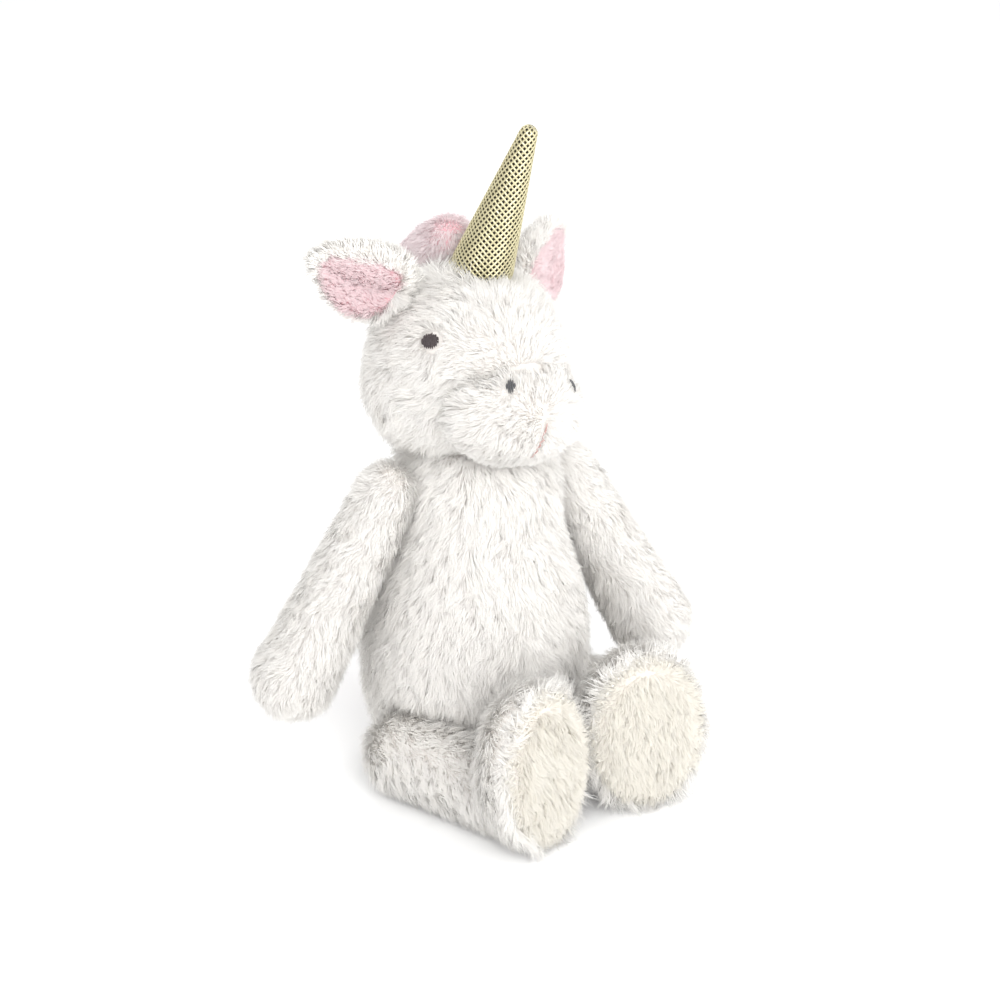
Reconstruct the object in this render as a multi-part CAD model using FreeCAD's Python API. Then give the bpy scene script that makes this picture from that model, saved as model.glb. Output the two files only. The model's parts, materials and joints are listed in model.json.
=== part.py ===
import FreeCAD, Part
import math
import os

# A seated plush unicorn in millimetres and degrees. The floor is z = 0, up is +Z and the toy
# faces -Y, so its own right side is at -X. The origin is the middle of the flat seat.
# Every limb starts in a ball that turns in a hollow of the body, with a thread ring between.

V = FreeCAD.Vector

# fabric, thread and filling
WALL = 2.6  # a cover: woven backing with its pile pressed flat
FILL_GAP = 0.25  # between a cover and the filling in it
THREAD_R = 0.45  # sewing thread, laid double
SEAM_GAP = 0.25  # free play on each side of a thread ring
PIECE_GAP = 0.3  # between pieces sewn side by side

# torso
SEAT_R = 23.0
BELLY_R = 41.0
BELLY_Z = 44.0
NECK_R = 29.0
NECK_Z = 108.0
NECK_RING_R = 13.0
CHEST_FULL = 1.15  # above 1 the torso stays wide further up towards the neck
CURVE_STEPS = 6  # spans in each half of the torso's outline

# head, in its own frame: origin at the middle of the skull, facing -Y
SKULL_R = 34.0
HEAD_RISE = 50.0  # skull centre above the neck centre
HEAD_BACK = 4.0  # skull centre behind the neck centre
HEAD_TURN = 2.0  # towards its left
HEAD_LEAN = 12.0  # crown towards its left
MUZZLE_HALF = V(28.5, 20.0, 21.0)
MUZZLE_FORWARD = 27.0
MUZZLE_DROP = 11.0
EYE_R = 3.6
EYE_AROUND = 65.0  # from the nose towards the side
EYE_UP = 16.0
NOSTRIL_HALF_W = 1.7
NOSTRIL_HALF_H = 2.8
NOSTRIL_APART = 28.0
NOSTRIL_UP = 11.0  # above the middle of the muzzle
MOUTH_LENGTH = 15.0
THREADWORK = 0.9  # thickness of embroidery on a cover

# horn
HORN_R = 11.3
HORN_TIP_R = 3.2
HORN_LENGTH = 52.0
HORN_PLACE = 0.0  # forward of the crown
HORN_TILT = 14.0  # forward of upright
HORN_CLOTH = 0.6
CLOTH_GAP = 0.1
HORN_HEM = 2.0  # how far the sleeve goes in below the horn's base

# ears
EAR_LENGTH = 40.0
EAR_WIDTH = 28.0
EAR_THICK = 9.0
EAR_ROOT_R = 4.5
EAR_RING_R = 4.5
EAR_STANDOFF = 1.5
EAR_UP = 35.0  # where the root is, above the skull's side
EAR_BEHIND = 10.0  # and behind it
EAR_CLEAR = 2.0  # the flap starts this far out from the root's centre
EAR_SWEEP = {-1: 18.0, 1: 36.0}  # how far each ear points back, right then left
EAR_RISE = {-1: 18.0, 1: 42.0}  # how far each ear points up
EAR_FACE = {-1: V(-0.15, -1.0, -0.45), 1: V(0.2, -1.0, 0.0)}  # where each lining faces

# mane
MANE_R = 10.0
MANE_SINK = 10.0  # how far its middle line lies outside the skull
MANE_START = 28.0  # behind the crown
MANE_SWEEP = 24.0

# arms
ARM_ROOT_R = 10.0
ARM_END_R = 14.5
ARM_LENGTH = 80.0
SHOULDER_Z = 116.0
SHOULDER_Y = 2.0
SHOULDER_STANDOFF = 8.5
SHOULDER_RING_R = 3.5
RING_AWAY = 0.25  # share by which the shoulder's thread ring keeps away from the arm
ARM_OUT = {-1: 25.0, 1: 20.0}  # from straight down, right then left
ARM_FORWARD = {-1: -11.0, 1: 23.0}

# legs
HIP_R = 14.5
ANKLE_R = 14.0
LEG_LENGTH = 59.0
HIP_Z = 16.0
HIP_AROUND = 74.0  # from the front, round the torso
HIP_STANDOFF = 5.0
HIP_RING_R = 2.7
LEG_INWARD = 15.0  # each leg points this far towards the other
LEG_LIFT = 14.0  # how far a leg can be raised before it meets the belly
FOOT_HALF = V(23.5, 15.0, 30.0)
FOOT_LEAN = 8.0  # top of the foot tipped back
SOLE_CUT = 5.0  # flat front of the foot, ahead of its middle
SOLE_HALF_W = 20.5
SOLE_HALF_H = 26.0
SOLE_THICK = 2.2
SOLE_STITCHES = 44

# tail
TAIL_ROOT_R = 6.0
TAIL_END_R = 8.0
TAIL_LENGTH = 22.0
TAIL_Z = 26.0
TAIL_STANDOFF = 3.0
TAIL_RING_R = 3.6
TAIL_ASIDE = 40.0  # towards its left
TAIL_DROOP = 22.0

# seat bag, closing seam and label
BAG_HALF = V(17.5, 17.5, 7.0)
BAG_CLOTH = 0.5
BAG_CLEAR = 0.5
PELLET_R = 2.1
PELLET_PITCH = 4.6
PELLET_ROW = 4.0  # between rows, each half a pitch along from the last
CLOSING_Z = (46.0, 78.0)
CLOSING_STITCHES = 9
STITCH_LENGTH = 4.0
LABEL_LENGTH = 15.0
LABEL_WIDTH = 12.0
LABEL_THICK = 0.5
LABEL_Z = 24.0
LABEL_AROUND = 55.0  # from the back, towards its left


def direction(around, up):
    """Unit vector: around is measured from -Y towards +X, up from the horizontal."""
    a = math.radians(around)
    u = math.radians(up)
    return V(math.sin(a) * math.cos(u), -math.cos(a) * math.cos(u), math.sin(u))


def placed(shape, origin, along, facing=None):
    """Puts a shape made along +Z, front at -Y, at origin, its +Z along and front facing."""
    z = V(along).normalize()
    if facing is None:
        turn = FreeCAD.Rotation(V(0, 0, 1), z)
    else:
        x = V(z).cross(facing).normalize()
        turn = FreeCAD.Rotation(x, z.cross(x), z, "ZXY")
    moved = shape.copy()
    moved.Placement = FreeCAD.Placement(origin, turn).multiply(shape.Placement)
    return moved


def ball(centre, radius):
    return Part.makeSphere(radius, centre)


def ellipsoid(half, centre=V(0, 0, 0)):
    """A unit ball, its poles at front and back, stretched to the three half sizes."""
    stretch = FreeCAD.Matrix()
    stretch.scale(half)
    shape = Part.makeSphere(1.0, V(0, 0, 0), V(0, 1, 0)).transformGeometry(stretch)
    shape.translate(centre)
    return shape


def spun(edges):
    """Solid of revolution about +Z from edges in the XZ plane, closed along the axis."""
    return Part.Face(Part.Wire(edges)).revolve(V(0, 0, 0), V(0, 0, 1), 360)


def tapered(length, root_r, end_r):
    """Two balls on +Z joined by the cone that touches both, the first about the origin."""
    lean = math.asin((root_r - end_r) / length)
    near = V(root_r * math.cos(lean), 0, root_r * math.sin(lean))
    far = V(end_r * math.cos(lean), 0, length + end_r * math.sin(lean))
    low = math.radians(-45)
    high = (lean + math.radians(90)) / 2
    near_mid = V(root_r * math.cos(low), 0, root_r * math.sin(low))
    far_mid = V(end_r * math.cos(high), 0, length + end_r * math.sin(high))
    bottom = V(0, 0, -root_r)
    top = V(0, 0, length + end_r)
    return spun([
        Part.Arc(bottom, near_mid, near).toShape(),
        Part.LineSegment(near, far).toShape(),
        Part.Arc(far, far_mid, top).toShape(),
        Part.LineSegment(top, bottom).toShape(),
    ])


def ring(centre, inwards, ball_r, ring_r):
    """Thread ring in the gap round a ball, on its side towards inwards."""
    middle = ball_r + SEAM_GAP + THREAD_R
    out = math.sqrt(middle ** 2 - ring_r ** 2)
    shape = Part.makeTorus(ring_r, THREAD_R)
    return placed(shape, centre + V(inwards).normalize() * out, inwards)


def hollow(ball_r, inset=0.0):
    """Radius of the hollow that a ball and its thread ring turn in."""
    return ball_r + 2 * SEAM_GAP + 2 * THREAD_R + inset


def cover_and_filling(form):
    """form(inset) is the outer shape drawn in by inset."""
    return form(0.0).cut(form(WALL)), form(WALL + FILL_GAP)


# ---- places ----


def torso_radius(z):
    """An ellipse's quarter from the seat up to the belly, then half a cosine wave to the neck."""
    if z < BELLY_Z:
        drop = (BELLY_Z - z) / BELLY_Z
        return SEAT_R + (BELLY_R - SEAT_R) * math.sqrt(1 - drop ** 2)
    share = min((z - BELLY_Z) / (NECK_Z - BELLY_Z), 1.0) ** CHEST_FULL
    return NECK_R + (BELLY_R - NECK_R) * (1 + math.cos(math.pi * share)) / 2


def on_torso(around, z, standoff=0.0):
    """A point standing off the torso, round it from the front towards +X."""
    return direction(around, 0) * (torso_radius(z) + standoff) + V(0, 0, z)


def neck_centre():
    return V(0, 0, NECK_Z)


def head_place():
    """From the head's own frame to the toy's."""
    turn = FreeCAD.Rotation(V(0, 0, 1), HEAD_TURN)
    lean = FreeCAD.Rotation(V(0, 1, 0), HEAD_LEAN)
    middle = neck_centre() + V(0, HEAD_BACK, HEAD_RISE)
    return FreeCAD.Placement(middle, turn.multiply(lean))


def in_place(shape):
    """A shape in the head's own frame, put on the neck."""
    moved = shape.copy()
    moved.Placement = head_place().multiply(shape.Placement)
    return moved


def shoulder(side):
    return V(side * (torso_radius(SHOULDER_Z) + SHOULDER_STANDOFF), SHOULDER_Y, SHOULDER_Z)


def arm_direction(side):
    out = math.radians(ARM_OUT[side])
    forward = math.radians(ARM_FORWARD[side])
    hang = math.cos(out)
    return V(side * math.sin(out), -hang * math.sin(forward), -hang * math.cos(forward))


def hip(side):
    return on_torso(side * HIP_AROUND, HIP_Z, HIP_STANDOFF)


def leg_direction(side, lift=0.0):
    """From hip to ankle, lifted from where the leg lies on the floor."""
    drop = math.degrees(math.asin((HIP_Z - ANKLE_R) / LEG_LENGTH))
    return direction(-side * LEG_INWARD, lift - drop)


def foot_centre(side):
    end = hip(side) + leg_direction(side) * LEG_LENGTH
    return V(end.x, end.y, FOOT_HALF.z)


def foot_facing(side):
    return direction(-side * LEG_INWARD, FOOT_LEAN)


def tail_root():
    return on_torso(180, TAIL_Z, TAIL_STANDOFF)


def skull_point(around, up, radius):
    return direction(around, up) * radius


def horn_root():
    return skull_point(0, 90 - HORN_PLACE, SKULL_R)


def ear_root(side):
    return skull_point(side * (90 + EAR_BEHIND), EAR_UP, SKULL_R + EAR_STANDOFF)


def muzzle_centre():
    return V(0, -MUZZLE_FORWARD, -MUZZLE_DROP)


# ---- torso ----


def side_curve(heights, inset, **tangents):
    """The torso's side through the given heights as one smooth edge."""
    curve = Part.BSplineCurve()
    curve.interpolate(Points=[V(torso_radius(z) - inset, 0, z) for z in heights], **tangents)
    return curve.toShape()


def torso_blank(inset):
    """The pear, its outline upright at the belly and where it meets the neck's dome."""
    upright = V(0, 0, 1)
    shares = [n / CURVE_STEPS for n in range(CURVE_STEPS + 1)]
    low = [inset + (BELLY_Z - inset) * (1 - math.cos(math.pi / 2 * share)) for share in shares]
    high = [BELLY_Z + (NECK_Z - BELLY_Z) * share for share in shares]
    foot = V(torso_radius(inset) - inset, 0, inset)
    neck_r = NECK_R - inset
    shoulder_end = V(neck_r, 0, NECK_Z)
    half = math.radians(45)
    dome_mid = V(neck_r * math.cos(half), 0, NECK_Z + neck_r * math.sin(half))
    top = V(0, 0, NECK_Z + neck_r)
    middle = V(0, 0, inset)
    return spun([
        Part.LineSegment(middle, foot).toShape(),
        side_curve(low, inset, FinalTangent=upright),
        side_curve(high, inset, InitialTangent=upright, FinalTangent=upright),
        Part.Arc(shoulder_end, dome_mid, top).toShape(),
        Part.LineSegment(top, middle).toShape(),
    ])


def torso_form(inset):
    shape = torso_blank(inset)
    for side in (-1, 1):
        shape = shape.cut(ball(shoulder(side), hollow(ARM_ROOT_R, inset)))
        for lift in (0.0, LEG_LIFT):
            room = tapered(LEG_LENGTH, hollow(HIP_R, inset), hollow(ANKLE_R, inset))
            shape = shape.cut(placed(room, hip(side), leg_direction(side, lift)))
    return shape.cut(ball(tail_root(), hollow(TAIL_ROOT_R, inset)))


def bag_centre():
    return V(0, 0, WALL + FILL_GAP + BAG_CLEAR + BAG_HALF.z)


def bag_form(inset):
    return ellipsoid(BAG_HALF - V(inset, inset, inset), bag_centre())


def pellets():
    """Balls on a close grid, kept where a whole one fits in the bag."""
    room = BAG_HALF - V(1, 1, 1) * (BAG_CLOTH + PELLET_R + CLOTH_GAP)
    count = int(BAG_HALF.x / PELLET_ROW) + 1
    balls = []
    for layer in (-1, 0, 1):
        for row in range(-count, count + 1):
            for column in range(-count, count + 1):
                x = PELLET_PITCH * (column + 0.5 * ((row + layer) % 2))
                y = PELLET_ROW * row
                z = PELLET_PITCH * layer
                if (x / room.x) ** 2 + (y / room.y) ** 2 + (z / room.z) ** 2 < 1:
                    balls.append(ball(bag_centre() + V(x, y, z), PELLET_R))
    return Part.makeCompound(balls)


def closing_stitches():
    """Short bars across the seam at the back, just clear of the cover."""
    low, high = CLOSING_Z
    bars = []
    for n in range(CLOSING_STITCHES):
        z = low + (high - low) * n / (CLOSING_STITCHES - 1)
        across = STITCH_LENGTH / 2
        y = torso_radius(z) + THREAD_R + SEAM_GAP
        bars.append(Part.makeCylinder(THREAD_R, STITCH_LENGTH, V(-across, y, z), V(1, 0, 0)))
    return Part.makeCompound(bars)


def label():
    """Folded tape standing out of the side seam at the back."""
    around = 180 - LABEL_AROUND
    tape = Part.makeBox(LABEL_THICK, LABEL_WIDTH, LABEL_LENGTH)
    tape.translate(V(-LABEL_THICK / 2, -LABEL_WIDTH / 2, 0))
    reach = torso_radius(LABEL_Z + LABEL_WIDTH) + PIECE_GAP
    root = direction(around, 0) * reach + V(0, 0, LABEL_Z + LABEL_WIDTH / 2)
    return placed(tape, root, direction(around, 0), V(0, 0, -1))


def make_torso(nodes):
    nodes["torso_cover"], filling = cover_and_filling(torso_form)
    nodes["torso_stuffing"] = filling.cut(bag_form(-BAG_CLEAR))
    nodes["seat_pellet_bag"] = bag_form(0.0).cut(bag_form(BAG_CLOTH))
    nodes["seat_pellets"] = pellets()
    nodes["back_closing_stitches"] = closing_stitches()
    nodes["care_label"] = label()
    nodes["neck_stitches"] = ring(neck_centre(), V(0, 0, 1), NECK_R, NECK_RING_R)


# ---- head ----


def neck_in_head():
    return head_place().inverse().multVec(neck_centre())


def skull_form(inset):
    shape = ball(V(0, 0, 0), SKULL_R - inset).cut(ball(neck_in_head(), hollow(NECK_R, inset)))
    shape = shape.cut(ball(horn_root(), hollow(HORN_R, inset)))
    for side in (-1, 1):
        shape = shape.cut(ball(ear_root(side), hollow(EAR_ROOT_R, inset)))
    return shape


def muzzle_form(inset):
    whole = ellipsoid(MUZZLE_HALF - V(inset, inset, inset), muzzle_centre())
    whole = whole.cut(ball(neck_in_head(), hollow(NECK_R, inset)))
    return whole.cut(ball(V(0, 0, 0), SKULL_R + PIECE_GAP + inset))


def mane_form(inset):
    """A round bead bent over the back of the skull, round-ended, fitted to the skull."""
    bend = SKULL_R + MANE_SINK
    start = V(0, math.sin(math.radians(MANE_START)), math.cos(math.radians(MANE_START))) * bend
    last = math.radians(MANE_START + MANE_SWEEP)
    end = V(0, math.sin(last), math.cos(last)) * bend
    radius = MANE_R - inset
    forward = V(0, start.z, -start.y)
    disc = Part.Face(Part.Wire(Part.makeCircle(radius, start, forward)))
    bead = disc.revolve(V(0, 0, 0), V(-1, 0, 0), MANE_SWEEP)
    whole = bead.fuse([ball(start, radius), ball(end, radius)])
    whole = whole.cut(ball(horn_root(), hollow(HORN_R, inset)))
    return whole.cut(ball(V(0, 0, 0), SKULL_R + PIECE_GAP + inset)).removeSplitter()


def on_skull(prism):
    """The part of a prism in a thin layer just off the skull."""
    layer = ball(V(0, 0, 0), SKULL_R + CLOTH_GAP + THREADWORK)
    return layer.cut(ball(V(0, 0, 0), SKULL_R + CLOTH_GAP)).common(prism)


def on_muzzle(prism):
    """The part of a prism in a thin layer just off the muzzle."""
    far = V(1, 1, 1) * (CLOTH_GAP + THREADWORK)
    near = V(1, 1, 1) * CLOTH_GAP
    layer = ellipsoid(MUZZLE_HALF + far, muzzle_centre())
    return layer.cut(ellipsoid(MUZZLE_HALF + near, muzzle_centre())).common(prism)


def eye(side):
    towards = direction(side * EYE_AROUND, EYE_UP)
    return on_skull(Part.makeCylinder(EYE_R, 2 * SKULL_R, V(0, 0, 0), towards))


def nostril(side):
    outline = Part.makeCylinder(1.0, 2 * MUZZLE_HALF.y)
    oval = FreeCAD.Matrix()
    oval.scale(V(NOSTRIL_HALF_W, NOSTRIL_HALF_H, 1.0))
    prism = outline.transformGeometry(oval)
    prism.rotate(V(0, 0, 0), V(1, 0, 0), 90)
    prism.translate(muzzle_centre() + V(side * NOSTRIL_APART / 2, 0, NOSTRIL_UP))
    return on_muzzle(prism)


def mouth():
    slot = Part.makeBox(2 * THREAD_R, 2 * MUZZLE_HALF.y, MOUTH_LENGTH)
    low = muzzle_centre() + V(-THREAD_R, -2 * MUZZLE_HALF.y, -MOUTH_LENGTH)
    slot.translate(low)
    return on_muzzle(slot)


def make_head(nodes):
    pieces = {}
    pieces["head_cover"], pieces["head_stuffing"] = cover_and_filling(skull_form)
    pieces["muzzle_cover"], pieces["muzzle_stuffing"] = cover_and_filling(muzzle_form)
    pieces["mane_cover"], pieces["mane_stuffing"] = cover_and_filling(mane_form)
    for side, name in ((-1, "right"), (1, "left")):
        pieces["eye_" + name] = eye(side)
        pieces["nostril_" + name] = nostril(side)
    pieces["mouth_stitches"] = mouth()
    for name, shape in pieces.items():
        nodes[name] = in_place(shape)


def make_horn(nodes):
    along = direction(0, 90 - HORN_TILT)

    def cone(inset):
        return tapered(HORN_LENGTH, HORN_R - inset, HORN_TIP_R - inset)

    reach = 2 * (HORN_LENGTH + HORN_R)
    above = Part.makeBox(reach, reach, reach, V(-reach / 2, -reach / 2, -HORN_HEM))
    under = HORN_CLOTH + CLOTH_GAP
    pieces = {
        "horn_sleeve": cone(0.0).cut(cone(HORN_CLOTH)).common(above),
        "horn_lining": cone(under).cut(cone(under + HORN_CLOTH)).common(above),
        "horn_stuffing": cone(2 * under),
    }
    for name, shape in pieces.items():
        nodes[name] = in_place(placed(shape, horn_root(), along))
    seam_r = math.sqrt((HORN_R + SEAM_GAP + THREAD_R) ** 2 - HORN_HEM ** 2)
    nodes["horn_stitches"] = in_place(ring(horn_root(), -along, HORN_R, seam_r))


def ear_direction(side):
    return direction(side * (90 + EAR_SWEEP[side]), EAR_RISE[side])


def ear_flap(shrink, low, high):
    """An oval pad on +Z between two planes across its thickness, open towards the root."""
    half = V(EAR_WIDTH / 2 - shrink, EAR_THICK / 2 - shrink, EAR_LENGTH / 2 - shrink)
    pad = ellipsoid(half, V(0, 0, EAR_LENGTH / 2 - EAR_CLEAR))
    slab = Part.makeBox(EAR_WIDTH, high - low, EAR_LENGTH, V(-EAR_WIDTH / 2, low, EAR_CLEAR))
    return pad.common(slab)


def make_ears(nodes):
    origin = V(0, 0, 0)
    below = Part.makeBox(EAR_WIDTH, EAR_WIDTH, EAR_WIDTH,
                         V(-EAR_WIDTH / 2, -EAR_WIDTH / 2, EAR_CLEAR - EAR_WIDTH))
    root_end = ball(origin, EAR_ROOT_R).common(below)
    back = ear_flap(0.0, 0.0, EAR_THICK).fuse(root_end)
    lining = ear_flap(PIECE_GAP, -EAR_THICK, -PIECE_GAP)
    lining = lining.cut(ball(origin, EAR_ROOT_R + PIECE_GAP))
    for side, name in ((-1, "right"), (1, "left")):
        along = ear_direction(side)
        root = ear_root(side)
        nodes["ear_back_" + name] = in_place(placed(back, root, along, EAR_FACE[side]))
        nodes["ear_lining_" + name] = in_place(placed(lining, root, along, EAR_FACE[side]))
        seam = ring(root, -root, EAR_ROOT_R, EAR_RING_R)
        nodes["ear_stitches_" + name] = in_place(seam)


# ---- limbs ----


def make_arm(nodes, side, name):
    def form(inset):
        shape = tapered(ARM_LENGTH, ARM_ROOT_R - inset, ARM_END_R - inset)
        return placed(shape, shoulder(side), arm_direction(side))

    cover, filling = cover_and_filling(form)
    nodes["arm_cover_" + name] = cover
    nodes["arm_stuffing_" + name] = filling
    inwards = V(-side, 0, 0) - arm_direction(side) * RING_AWAY
    seam = ring(shoulder(side), inwards, ARM_ROOT_R, SHOULDER_RING_R)
    nodes["shoulder_stitches_" + name] = seam


def in_foot(shape, side):
    """A shape made with its front at -Y, put in the foot."""
    facing = foot_facing(side)
    across = V(facing.y, -facing.x, 0)
    return placed(shape, foot_centre(side), facing.cross(across), facing)


def leg_form(side, inset):
    shape = tapered(LEG_LENGTH, HIP_R - inset, ANKLE_R - inset)
    limb = placed(shape, hip(side), leg_direction(side))
    foot = ellipsoid(FOOT_HALF - V(inset, inset, inset))
    size = 4 * FOOT_HALF.z
    front = SOLE_CUT - inset
    keep = Part.makeBox(size, size, size, V(-size / 2, -front, -size / 2))
    whole = limb.fuse(in_foot(foot, side))
    return whole.common(in_foot(keep, side)).removeSplitter()


def oval(half_w, half_h, thick, front):
    """An oval plate across Y, its back at front."""
    plate = Part.makeCylinder(1.0, thick)
    stretch = FreeCAD.Matrix()
    stretch.scale(V(half_w, half_h, 1.0))
    plate = plate.transformGeometry(stretch)
    plate.rotate(V(0, 0, 0), V(1, 0, 0), 90)
    plate.translate(V(0, -front, 0))
    return plate


def sole_stitches():
    """Short bars over the edge of the sole pad, evenly round it."""
    bars = []
    for n in range(SOLE_STITCHES):
        a = 2 * math.pi * n / SOLE_STITCHES
        out = V(math.cos(a), 0, math.sin(a))
        w = SOLE_HALF_W + THREAD_R + SEAM_GAP
        h = SOLE_HALF_H + THREAD_R + SEAM_GAP
        centre = V(w * out.x, -(SOLE_CUT + SEAM_GAP), h * out.z)
        bars.append(Part.makeCylinder(THREAD_R, SOLE_THICK, centre, V(0, -1, 0)))
    return Part.makeCompound(bars)


def make_leg(nodes, side, name):
    cover, filling = cover_and_filling(lambda inset: leg_form(side, inset))
    nodes["leg_cover_" + name] = cover
    nodes["leg_stuffing_" + name] = filling
    pad = oval(SOLE_HALF_W, SOLE_HALF_H, SOLE_THICK, SOLE_CUT + CLOTH_GAP)
    nodes["sole_pad_" + name] = in_foot(pad, side)
    nodes["sole_stitches_" + name] = in_foot(sole_stitches(), side)
    inwards = V(0, 0, HIP_Z) - hip(side)
    nodes["hip_stitches_" + name] = ring(hip(side), inwards, HIP_R, HIP_RING_R)


def make_tail(nodes):
    along = direction(180 - TAIL_ASIDE, -TAIL_DROOP)

    def form(inset):
        shape = tapered(TAIL_LENGTH, TAIL_ROOT_R - inset, TAIL_END_R - inset)
        return placed(shape, tail_root(), along)

    nodes["tail_cover"], nodes["tail_stuffing"] = cover_and_filling(form)
    nodes["tail_stitches"] = ring(tail_root(), V(0, -1, 0), TAIL_ROOT_R, TAIL_RING_R)


def whole_part():
    nodes = {}
    make_torso(nodes)
    make_head(nodes)
    make_horn(nodes)
    make_ears(nodes)
    for side, name in ((-1, "right"), (1, "left")):
        make_arm(nodes, side, name)
        make_leg(nodes, side, name)
    make_tail(nodes)
    return nodes


def write(nodes):
    os.makedirs("parts", exist_ok=True)
    for name, shape in nodes.items():
        solids = shape.Solids
        one = solids[0] if len(solids) == 1 else Part.makeCompound(solids)
        one.exportStep("parts/" + name + ".step")
        print(name, len(solids), round(one.Volume, 1))


write(whole_part())
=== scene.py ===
import json
import math
import bpy
import numpy as np
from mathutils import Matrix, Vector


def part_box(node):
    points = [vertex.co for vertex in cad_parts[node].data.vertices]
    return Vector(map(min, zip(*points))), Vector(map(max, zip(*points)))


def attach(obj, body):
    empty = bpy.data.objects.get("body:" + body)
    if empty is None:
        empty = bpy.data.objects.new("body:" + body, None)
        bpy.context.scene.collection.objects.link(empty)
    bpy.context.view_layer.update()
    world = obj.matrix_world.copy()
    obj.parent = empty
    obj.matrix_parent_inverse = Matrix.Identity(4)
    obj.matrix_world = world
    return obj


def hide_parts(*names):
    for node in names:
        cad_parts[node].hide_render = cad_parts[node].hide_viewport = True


# A seated plush unicorn: sewn skins swollen from their fillings, pile on the skins, a horn of
# pierced gold cloth, and embroidered eyes and nose. Metres throughout, in the frame of the part.

MM = 0.001
VOXEL = 3.6 * MM  # remesh of a filling before it swells
SWELL_CAP = 2.5 * MM  # the most a point of a skin moves as it swells
SKIN_RISE = 1.5 * MM  # a skin's mean height over its filling
SKIN_FLOOR = 0.6 * MM  # no point of a skin is lower than this
PILE_FLOOR = 0.25 * MM  # and none of the pile than this
HORN_R = 11.3 * MM
HORN_TIP_R = 3.2 * MM
HORN_LENGTH = 52.0 * MM
HORN_HEM = 2.0 * MM
NET_PITCH = 1.6 * MM
NET_HOLE = 0.6  # a hole's side as a share of the pitch
NET_TURN = 38  # degrees between a row of holes and the middle line of the flat net
NET_CREST = 0.16 * MM  # the bars' height over the horn's surface
NET_DEPTH = 0.3 * MM  # how far the holes' walls go below it
EAR_HALF_W = 13.2 * MM
EAR_LENGTH = 37.0 * MM
EAR_FOOT = 1.5 * MM  # from the hinge to the ear's lower end
EAR_ROWS = 26
EAR_ROUND = 48
SOLE_HALF_W = 20.0 * MM
SOLE_HALF_H = 25.5 * MM
SOLE_CROWN = 2.6 * MM
SOLE_THICK = 1.6 * MM
SOLE_ROUND = 72
SOLE_RINGS = 16
SEAM_HALF_W = 19.5 * MM  # the oval where foot and sole meet
SEAM_HALF_H = 25.0 * MM
EYE_R = 3.0 * MM
EYE_LIFT = 1.0 * MM  # from the middle of the eye's solid to the ball its thread lies on
NOSTRIL_HALF_W = 1.4 * MM
NOSTRIL_HALF_H = 3.0 * MM
NOSTRIL_LIFT = 0.6 * MM
MOUTH_THREAD_R = 0.38 * MM
FLOOR_HALF = 4.0
LIGHT_TARGET = 0.12  # the height that the lights are aimed at
CAMERA_TARGET = 0.110  # the height that the camera looks at
CAMERA_DISTANCE = 0.874
CAMERA_AZIMUTH = math.radians(-37)
CAMERA_ELEVATION = math.radians(22)
SIDES = ((-1, "right"), (1, "left"))

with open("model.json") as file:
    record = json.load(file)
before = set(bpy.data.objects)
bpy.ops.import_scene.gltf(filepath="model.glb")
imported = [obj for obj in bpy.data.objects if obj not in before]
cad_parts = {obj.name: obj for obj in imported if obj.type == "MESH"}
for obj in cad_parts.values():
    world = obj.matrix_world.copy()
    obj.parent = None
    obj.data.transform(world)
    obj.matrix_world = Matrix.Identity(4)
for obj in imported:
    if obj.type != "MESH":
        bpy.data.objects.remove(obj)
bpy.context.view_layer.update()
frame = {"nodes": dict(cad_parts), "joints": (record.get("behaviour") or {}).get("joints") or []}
scene = bpy.context.scene
joints = {j["name"]: j for j in frame["joints"]}


# ---------------------------------------------------------------- small helpers


def unit(v):
    """Rows of v at length 1."""
    v = np.asarray(v, float)
    return v / np.maximum(np.linalg.norm(v, axis=-1, keepdims=True), 1e-12)


def dot(a, b):
    """Row by row product of a and b, as one column."""
    return np.sum(a * b, axis=-1, keepdims=True)


def flat(v, n):
    """The part of v that lies across n."""
    return v - dot(v, n) * n


def read(items, name, width=3):
    """One property of every item of a mesh, width numbers to a row."""
    out = np.zeros(len(items) * width, np.float32)
    items.foreach_get(name, out)
    return out.reshape(-1, width).astype(float)


def cad_points(node):
    return read(frame["nodes"][node].data.vertices, "co")


def box_middle(node):
    low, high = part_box(node)
    return (np.array(low) + np.array(high)) / 2


def joint_place(name):
    """A joint's pivot and axis."""
    return np.array(joints[name]["pos_m"]), np.array(joints[name]["axis"])


def smooth(x):
    """0 below 0 and 1 above 1, easing between them."""
    x = np.clip(x, 0, 1)
    return x * x * (3 - 2 * x)


def hashed(cell, salt):
    """One number from 0 to 1 for each row of whole numbers, the same on every run."""
    c = cell.astype(np.int64)
    h = c[:, 0] * 73856093 ^ c[:, 1] * 19349663 ^ c[:, 2] * 83492791 ^ salt * 2654435761
    h = (h ^ (h >> 13)) * 1274126177 & 0xFFFFFFFF
    h = (h ^ (h >> 16)) * 2246822519 & 0xFFFFFFFF
    return (h ^ (h >> 15)) % 100003 / 100003.0


def waves(p, size, seed):
    """Smooth noise, mostly from -1 to 1: eight sine waves of about that size added up."""
    rng = np.random.default_rng(seed)
    ways = unit(rng.normal(size=(8, 3))) * rng.uniform(0.7, 1.5, (8, 1))
    phase = rng.uniform(0, 2 * math.pi, 8)
    return np.sin(p @ ways.T * (2 * math.pi / size) + phase).mean(1) * 1.9


def fitted_ball(points):
    """Centre and radius of the ball most of the points lie on, the rest left out by degrees."""
    kept = points
    for _ in range(8):
        rows = np.column_stack([2 * kept, np.ones(len(kept))])
        got = np.linalg.lstsq(rows, np.sum(kept**2, 1), rcond=None)[0]
        centre = got[:3]
        radius = math.sqrt(got[3] + centre @ centre)
        miss = np.abs(np.linalg.norm(kept - centre, axis=1) - radius)
        kept = kept[miss <= np.quantile(miss, 0.85)]
    return centre, radius


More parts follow.
